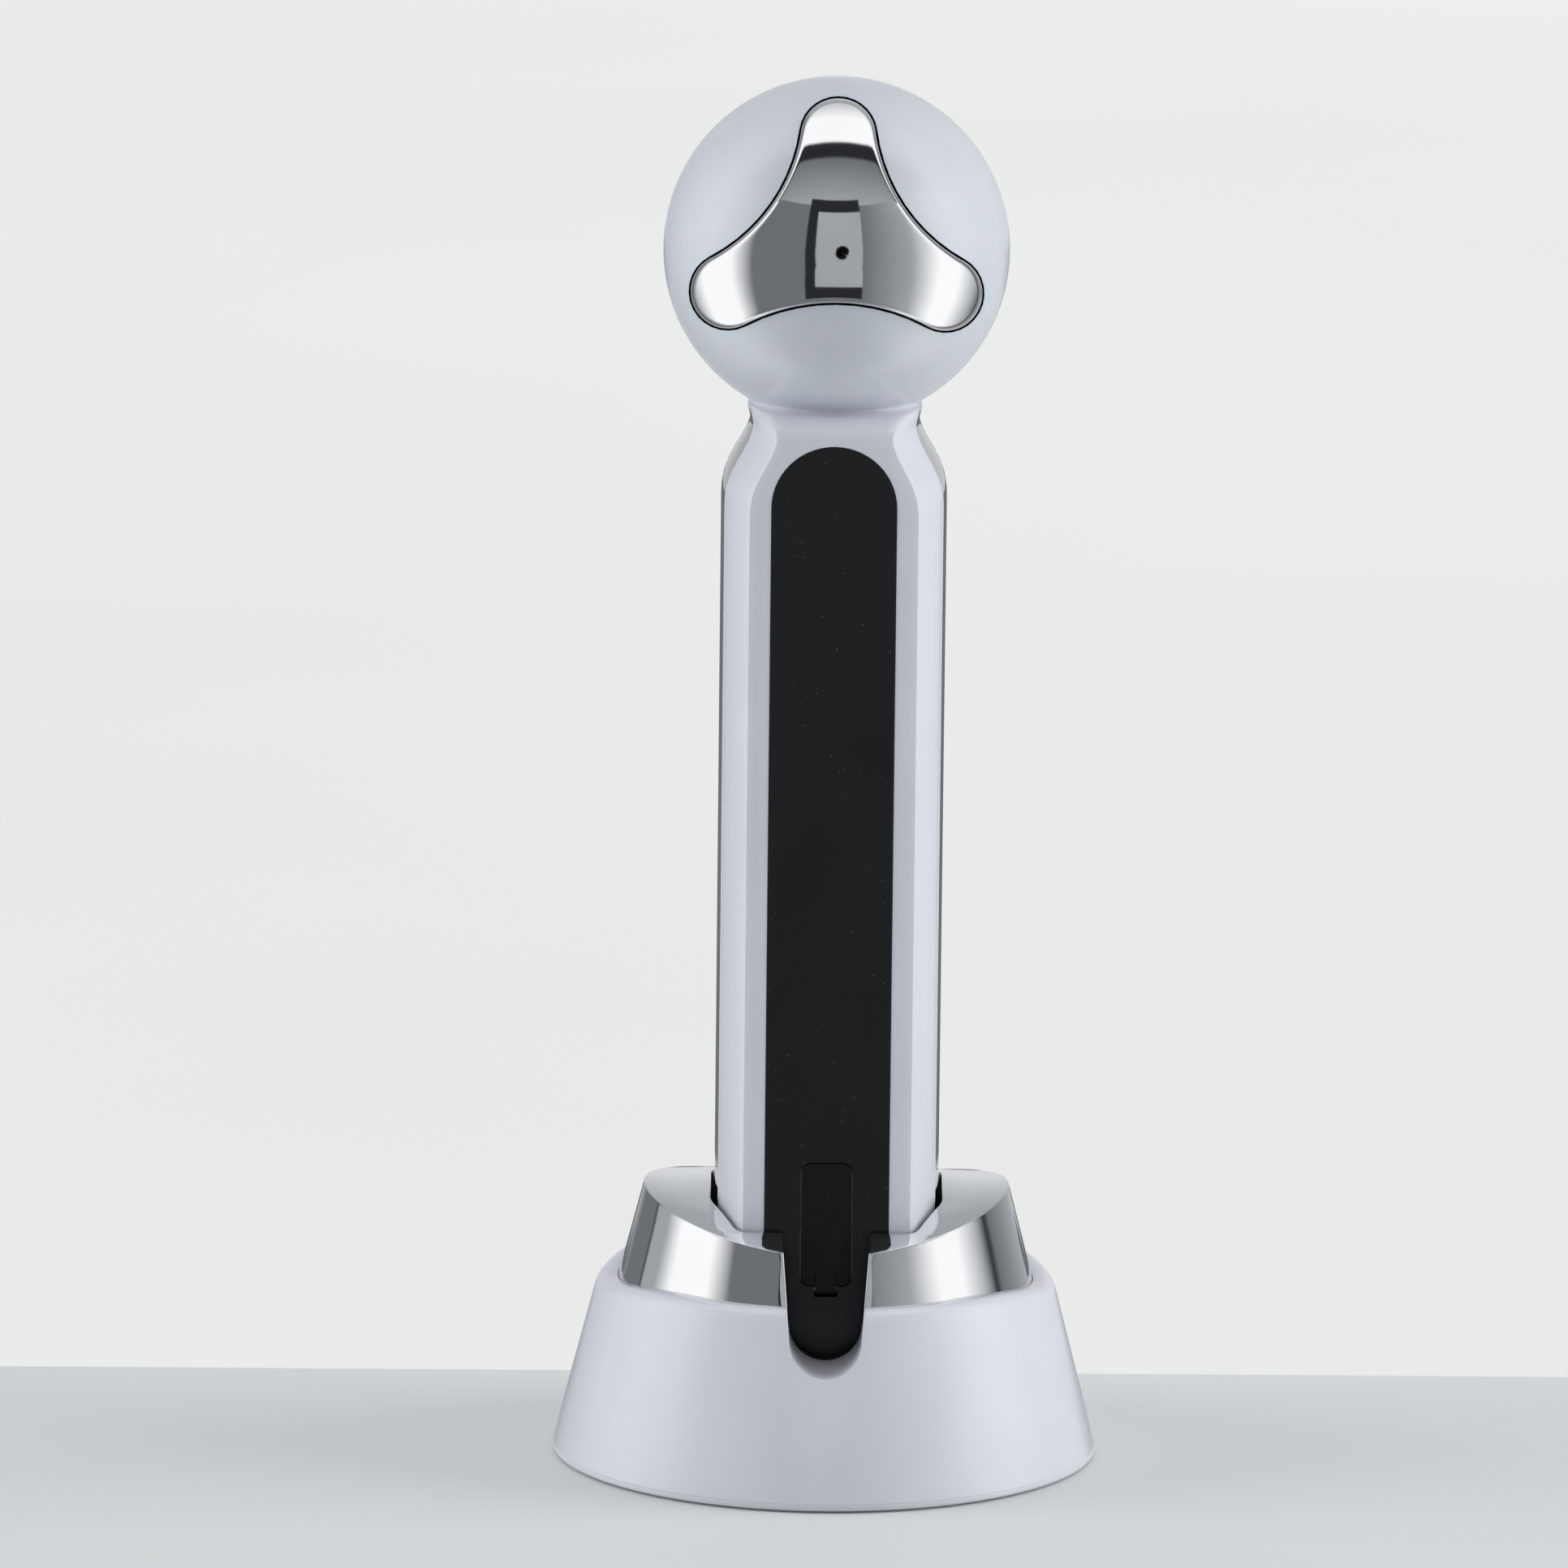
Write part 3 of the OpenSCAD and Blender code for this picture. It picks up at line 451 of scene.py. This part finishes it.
wall = add_node(tree, "ShaderNodeEmission", {"Strength": 1.0}, {"Color": (plaster, "Color")})
rays = add_node(tree, "ShaderNodeLightPath")
seen = maths(tree, "MAXIMUM", (rays, "Is Camera Ray"), (rays, "Is Glossy Ray"))
far_part = maths(tree, "MULTIPLY", behind, seen)
mixed = add_node(tree, "ShaderNodeMixShader", None, {"Fac": (far_part, 0)})
tree.links.new(floor_paint.outputs[0], mixed.inputs[1])
tree.links.new(wall.outputs[0], mixed.inputs[2])
add_node(tree, "ShaderNodeOutputMaterial", None, {"Surface": (mixed, "Shader")})
floor.data.materials.append(material)
print("floor laid")

# %% [markdown]
# ## Light
# A photographer lights chrome by what it reflects: wide white softboxes on both sides and
# overhead, with the dim room between them. The world gives the even light and, only where
# a mirror looks, that studio. Three large lamps add a soft direction.

# %% The room that mirrors see
def between(tree, value, low, high):
    """1 where value lies between two angles in degrees, else 0."""
    return maths(tree, "MULTIPLY", maths(tree, "GREATER_THAN", value, radians(low)),
                 maths(tree, "LESS_THAN", value, radians(high)))


world = bpy.data.worlds.new("studio")
scene.world = world
world.use_nodes = True
tree = world.node_tree
tree.nodes.clear()
rays = add_node(tree, "ShaderNodeLightPath")
place = add_node(tree, "ShaderNodeTexCoord")
way = add_node(tree, "ShaderNodeSeparateXYZ", None, {"Vector": (place, "Generated")})
to_front = maths(tree, "MULTIPLY", (way, "Y"), -1.0)
# azimuth 0 is the front, -90 the left, 90 the right and 180 the wall behind
azimuth = maths(tree, "ARCTAN2", (way, "X"), to_front)
elevation = maths(tree, "ARCSINE", (way, "Z"))
pitch = maths(tree, "ARCTAN2", (way, "Z"), to_front)

turn = add_node(tree, "ShaderNodeMapRange", {"From Min": -pi, "From Max": pi}, {"Value": (azimuth, 0)})
round_the_room = add_node(tree, "ShaderNodeValToRGB", None, {"Fac": (turn, "Result")})
softbox_tone, light_tone, mid_tone = "#FFFFFF", "#D8DADC", "#A0A4A8"
dim_tone, dark_tone = "#6C7074", "#282A2C"
# a softbox on each side with a dark stand behind it, a dim room and a light wall at the back
walls = [(-180, light_tone), (-150, dim_tone), (-129, dim_tone), (-127, dark_tone), (-125, mid_tone),
         (-112, mid_tone), (-98, softbox_tone), (-72, softbox_tone), (-56, dim_tone), (17, dim_tone),
         (50, mid_tone), (70, softbox_tone), (86, softbox_tone), (105, mid_tone),
         (113, dark_tone), (118, dim_tone), (150, mid_tone), (180, light_tone)]
set_ramp(round_the_room, [(0.5 + degrees / 360, value) for degrees, value in walls])
tip = add_node(tree, "ShaderNodeMapRange", {"From Min": 0.0, "From Max": pi}, {"Value": (pitch, 0)})
overhead = add_node(tree, "ShaderNodeValToRGB", None, {"Fac": (tip, "Result")})
# from the front upwards: ceiling, a dark beam, the softbox overhead, and the ceiling down to the back
ceiling = [(38, mid_tone), (70, dim_tone), (72, dark_tone), (82, dark_tone), (84, softbox_tone),
           (104, softbox_tone), (125, mid_tone), (150, mid_tone), (178, light_tone)]
set_ramp(overhead, [(degrees / 180, value) for degrees, value in ceiling])
# a window in a dark frame at the front, with the round lens of a camera before it
is_frame = maths(tree, "MULTIPLY", between(tree, azimuth, -20.5, 16.7), between(tree, elevation, -28, 41))
is_pane = maths(tree, "MULTIPLY", between(tree, azimuth, -13.8, 16.7), between(tree, elevation, -15, 33))
frame_seen = mix(tree, is_frame, round_the_room, dark_tone)
pane_seen = mix(tree, is_pane, frame_seen, mid_tone)
lens_azimuth, lens_elevation, lens_size = radians(3.2), radians(7.2), radians(4.4)
off_side = maths(tree, "POWER", maths(tree, "SUBTRACT", azimuth, lens_azimuth), 2.0)
off_height = maths(tree, "POWER", maths(tree, "SUBTRACT", elevation, lens_elevation), 2.0)
off_lens = maths(tree, "SQRT", maths(tree, "ADD", off_side, off_height))
lens_seen = mix(tree, maths(tree, "LESS_THAN", off_lens, lens_size), pane_seen, "#050505")
# the wall behind darkens upwards, which the collar's arched top sees
off_front = maths(tree, "ABSOLUTE", azimuth)
at_back = maths(tree, "GREATER_THAN", off_front, radians(150))
upper_wall = add_node(tree, "ShaderNodeMapRange", {"From Min": radians(4), "From Max": radians(34)},
                      {"Value": (elevation, 0)})
rear_seen = mix(tree, maths(tree, "MULTIPLY", upper_wall, at_back), lens_seen, mid_tone)
is_high = maths(tree, "MULTIPLY", maths(tree, "GREATER_THAN", elevation, radians(37)),
                maths(tree, "SUBTRACT", 1.0, is_frame))
ceiling_seen = mix(tree, is_high, rear_seen, overhead)
# a dim skirting at the back, which only upright mirrors at the silhouette see
is_skirting = maths(tree, "MULTIPLY", at_back, between(tree, elevation, -12.8, -8.5))
room = mix(tree, is_skirting, ceiling_seen, dim_tone)

# %% World
mirror_view = add_node(tree, "ShaderNodeBackground", {"Strength": 1.0}, {"Color": (room, "Color")})
even_light = add_node(tree, "ShaderNodeBackground", {"Color": colour("#F1F3F8"), "Strength": 0.46})
clouds = add_node(tree, "ShaderNodeTexNoise", {"Scale": 9.0, "Detail": 5.0, "Roughness": 0.6},
                  {"Vector": (place, "Generated")})
plaster = add_node(tree, "ShaderNodeValToRGB", None, {"Fac": (clouds, "Fac")})
set_ramp(plaster, [(0.35, "#E3E7E5"), (0.65, "#EFF2F1")])
wall_view = add_node(tree, "ShaderNodeBackground", {"Strength": 1.0}, {"Color": (plaster, "Color")})
lit = add_node(tree, "ShaderNodeMixShader", None, {"Fac": (rays, "Is Glossy Ray")})
tree.links.new(even_light.outputs[0], lit.inputs[1])
tree.links.new(mirror_view.outputs[0], lit.inputs[2])
clear = maths(tree, "MAXIMUM", (rays, "Is Camera Ray"), (rays, "Is Transmission Ray"))
shown = add_node(tree, "ShaderNodeMixShader", None, {"Fac": (clear, 0)})
tree.links.new(lit.outputs[0], shown.inputs[1])
tree.links.new(wall_view.outputs[0], shown.inputs[2])
add_node(tree, "ShaderNodeOutputWorld", None, {"Surface": (shown, "Shader")})
print("world made")

# %% Softboxes
lit_point = (0, 0, 0.1)


def softbox(name, at, size, power):
    """A rectangular lamp of (width, height) in metres and a power in watts, turned to lit_point."""
    lamp = bpy.data.lights.new(name, "AREA")
    lamp.shape, lamp.size, lamp.size_y, lamp.energy = "RECTANGLE", size[0], size[1], power
    holder = bpy.data.objects.new(name, lamp)
    scene.collection.objects.link(holder)
    holder.location = at
    holder.rotation_euler = (Vector(lit_point) - Vector(at)).to_track_quat("-Z", "Y").to_euler()
    holder.visible_glossy = False


softbox("softbox_left", (-1.08, -0.06, 0.45), (0.8, 0.9), 7.0)
softbox("softbox_right", (1.08, -0.04, 0.45), (0.8, 0.9), 9.0)
softbox("softbox_top", (0, 0.15, 1.3), (0.8, 0.8), 2.0)

# %% [markdown]
# ## Camera
# The perspective is nearly flat and the rims of the stand are narrow ellipses, so the
# camera is far off with a long lens and looks about eleven degrees down.

# %% Camera
lens = bpy.data.cameras.new("camera")
lens.sensor_width, lens.lens = 36.0, 354.7
lens.clip_start, lens.clip_end = 0.05, 50
camera = bpy.data.objects.new("camera", lens)
scene.collection.objects.link(camera)
scene.camera = camera
camera.location = (-0.0068, -2.2, 0.5444)
down, roll = radians(11.44), radians(0.6)
camera.rotation_euler = (Matrix.Rotation(pi / 2 - down, 3, "X") @ Matrix.Rotation(roll, 3, "Z")).to_euler()
scene.view_settings.view_transform = "Standard"
print("camera set")
